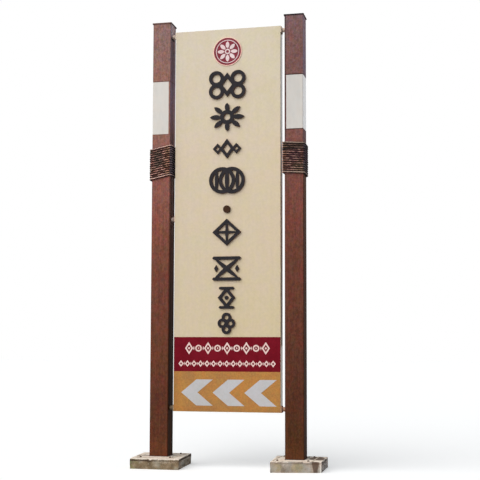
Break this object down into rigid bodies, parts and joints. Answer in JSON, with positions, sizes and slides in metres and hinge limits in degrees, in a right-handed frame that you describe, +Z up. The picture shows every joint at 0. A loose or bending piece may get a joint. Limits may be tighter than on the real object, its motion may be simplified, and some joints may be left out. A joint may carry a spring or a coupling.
{
  "type": "outdoor signboard",
  "caption": "Tall free-standing pylon sign: a box panel with raised ornaments and chevrons, hung between square wood-grain posts with lamp windows and rope windings on concrete pads.",
  "frame": {"origin": "on the ground, midway between the two footings and at the middle of their depth", "axes": "+Z up the posts, +X to the right as the sign is read, and the face looks along -Y"},
  "size_m": [2.058, 0.64, 4.802],
  "materials": {
    "post_film": "wood-grain film, matt, faded towards the top",
    "cap_paint": "matt dark paint",
    "opal": "opal sheet, soft gloss",
    "rope": "twisted three-strand rope, weathered",
    "concrete": "rough cast concrete, stained",
    "galvanised": "weathered zinc with cement wash",
    "fastener": "zinc-plated",
    "tray_paint": "white enamel",
    "holder_plastic": "white moulded plastic",
    "lamp_glass": "phosphor-coated glass",
    "panel_paint": "beige satin paint",
    "frame_steel": "grey primer",
    "red_paint": "dark red satin paint",
    "ochre_paint": "ochre satin paint",
    "chevron_paint": "light grey satin paint",
    "medallion_pale": "pale rose acrylic",
    "medallion_red": "dark red acrylic",
    "ornament_black": "black acrylic with brown edges",
    "bracket_paint": "grey-beige paint"
  },
  "bodies": {
    "root": {"left_footing": "concrete", "left_base_plate": "galvanised", "left_anchor_bolts": "fastener", "left_anchor_nuts": "fastener", "left_post": "post_film", "left_post_cap": "cap_paint", "left_cap_screws": "fastener", "left_lamp_diffuser": "opal", "left_diffuser_screws": "fastener", "left_lamp_tray": "tray_paint", "left_lamp_holders": "holder_plastic", "left_lamp_tube": "lamp_glass", "left_lamp_gear": "tray_paint", "left_rope": "rope", "right_footing": "concrete", "right_base_plate": "galvanised", "right_anchor_bolts": "fastener", "right_anchor_nuts": "fastener", "right_post": "post_film", "right_post_cap": "cap_paint", "right_cap_screws": "fastener", "right_lamp_diffuser": "opal", "right_diffuser_screws": "fastener", "right_lamp_tray": "tray_paint", "right_lamp_holders": "holder_plastic", "right_lamp_tube": "lamp_glass", "right_lamp_gear": "tray_paint", "right_rope": "rope", "panel_shell": "panel_paint", "back_cover": "panel_paint", "back_screws": "fastener", "frame_left_stile": "frame_steel", "frame_right_stile": "frame_steel", "frame_top_rail": "frame_steel", "frame_upper_rail": "frame_steel", "frame_middle_rail": "frame_steel", "frame_lower_rail": "frame_steel", "frame_bottom_rail": "frame_steel", "red_band": "red_paint", "ochre_band": "ochre_paint", "arrows": "chevron_paint", "medallion_ring": "medallion_pale", "medallion_disc": "medallion_red", "medallion_rosette": "medallion_pale", "ornament_1": "ornament_black", "ornament_2": "ornament_black", "ornament_3": "ornament_black", "ornament_4": "ornament_black", "ornament_dot": "ornament_black", "ornament_5": "ornament_black", "ornament_6": "ornament_black", "ornament_7": "ornament_black", "ornament_8": "ornament_black", "bracket_left_upper": "bracket_paint", "bracket_left_middle": "bracket_paint", "bracket_left_lower": "bracket_paint", "bracket_right_upper": "bracket_paint", "bracket_right_lower": "bracket_paint", "bracket_bolts": "fastener"}
  },
  "joints": []
}
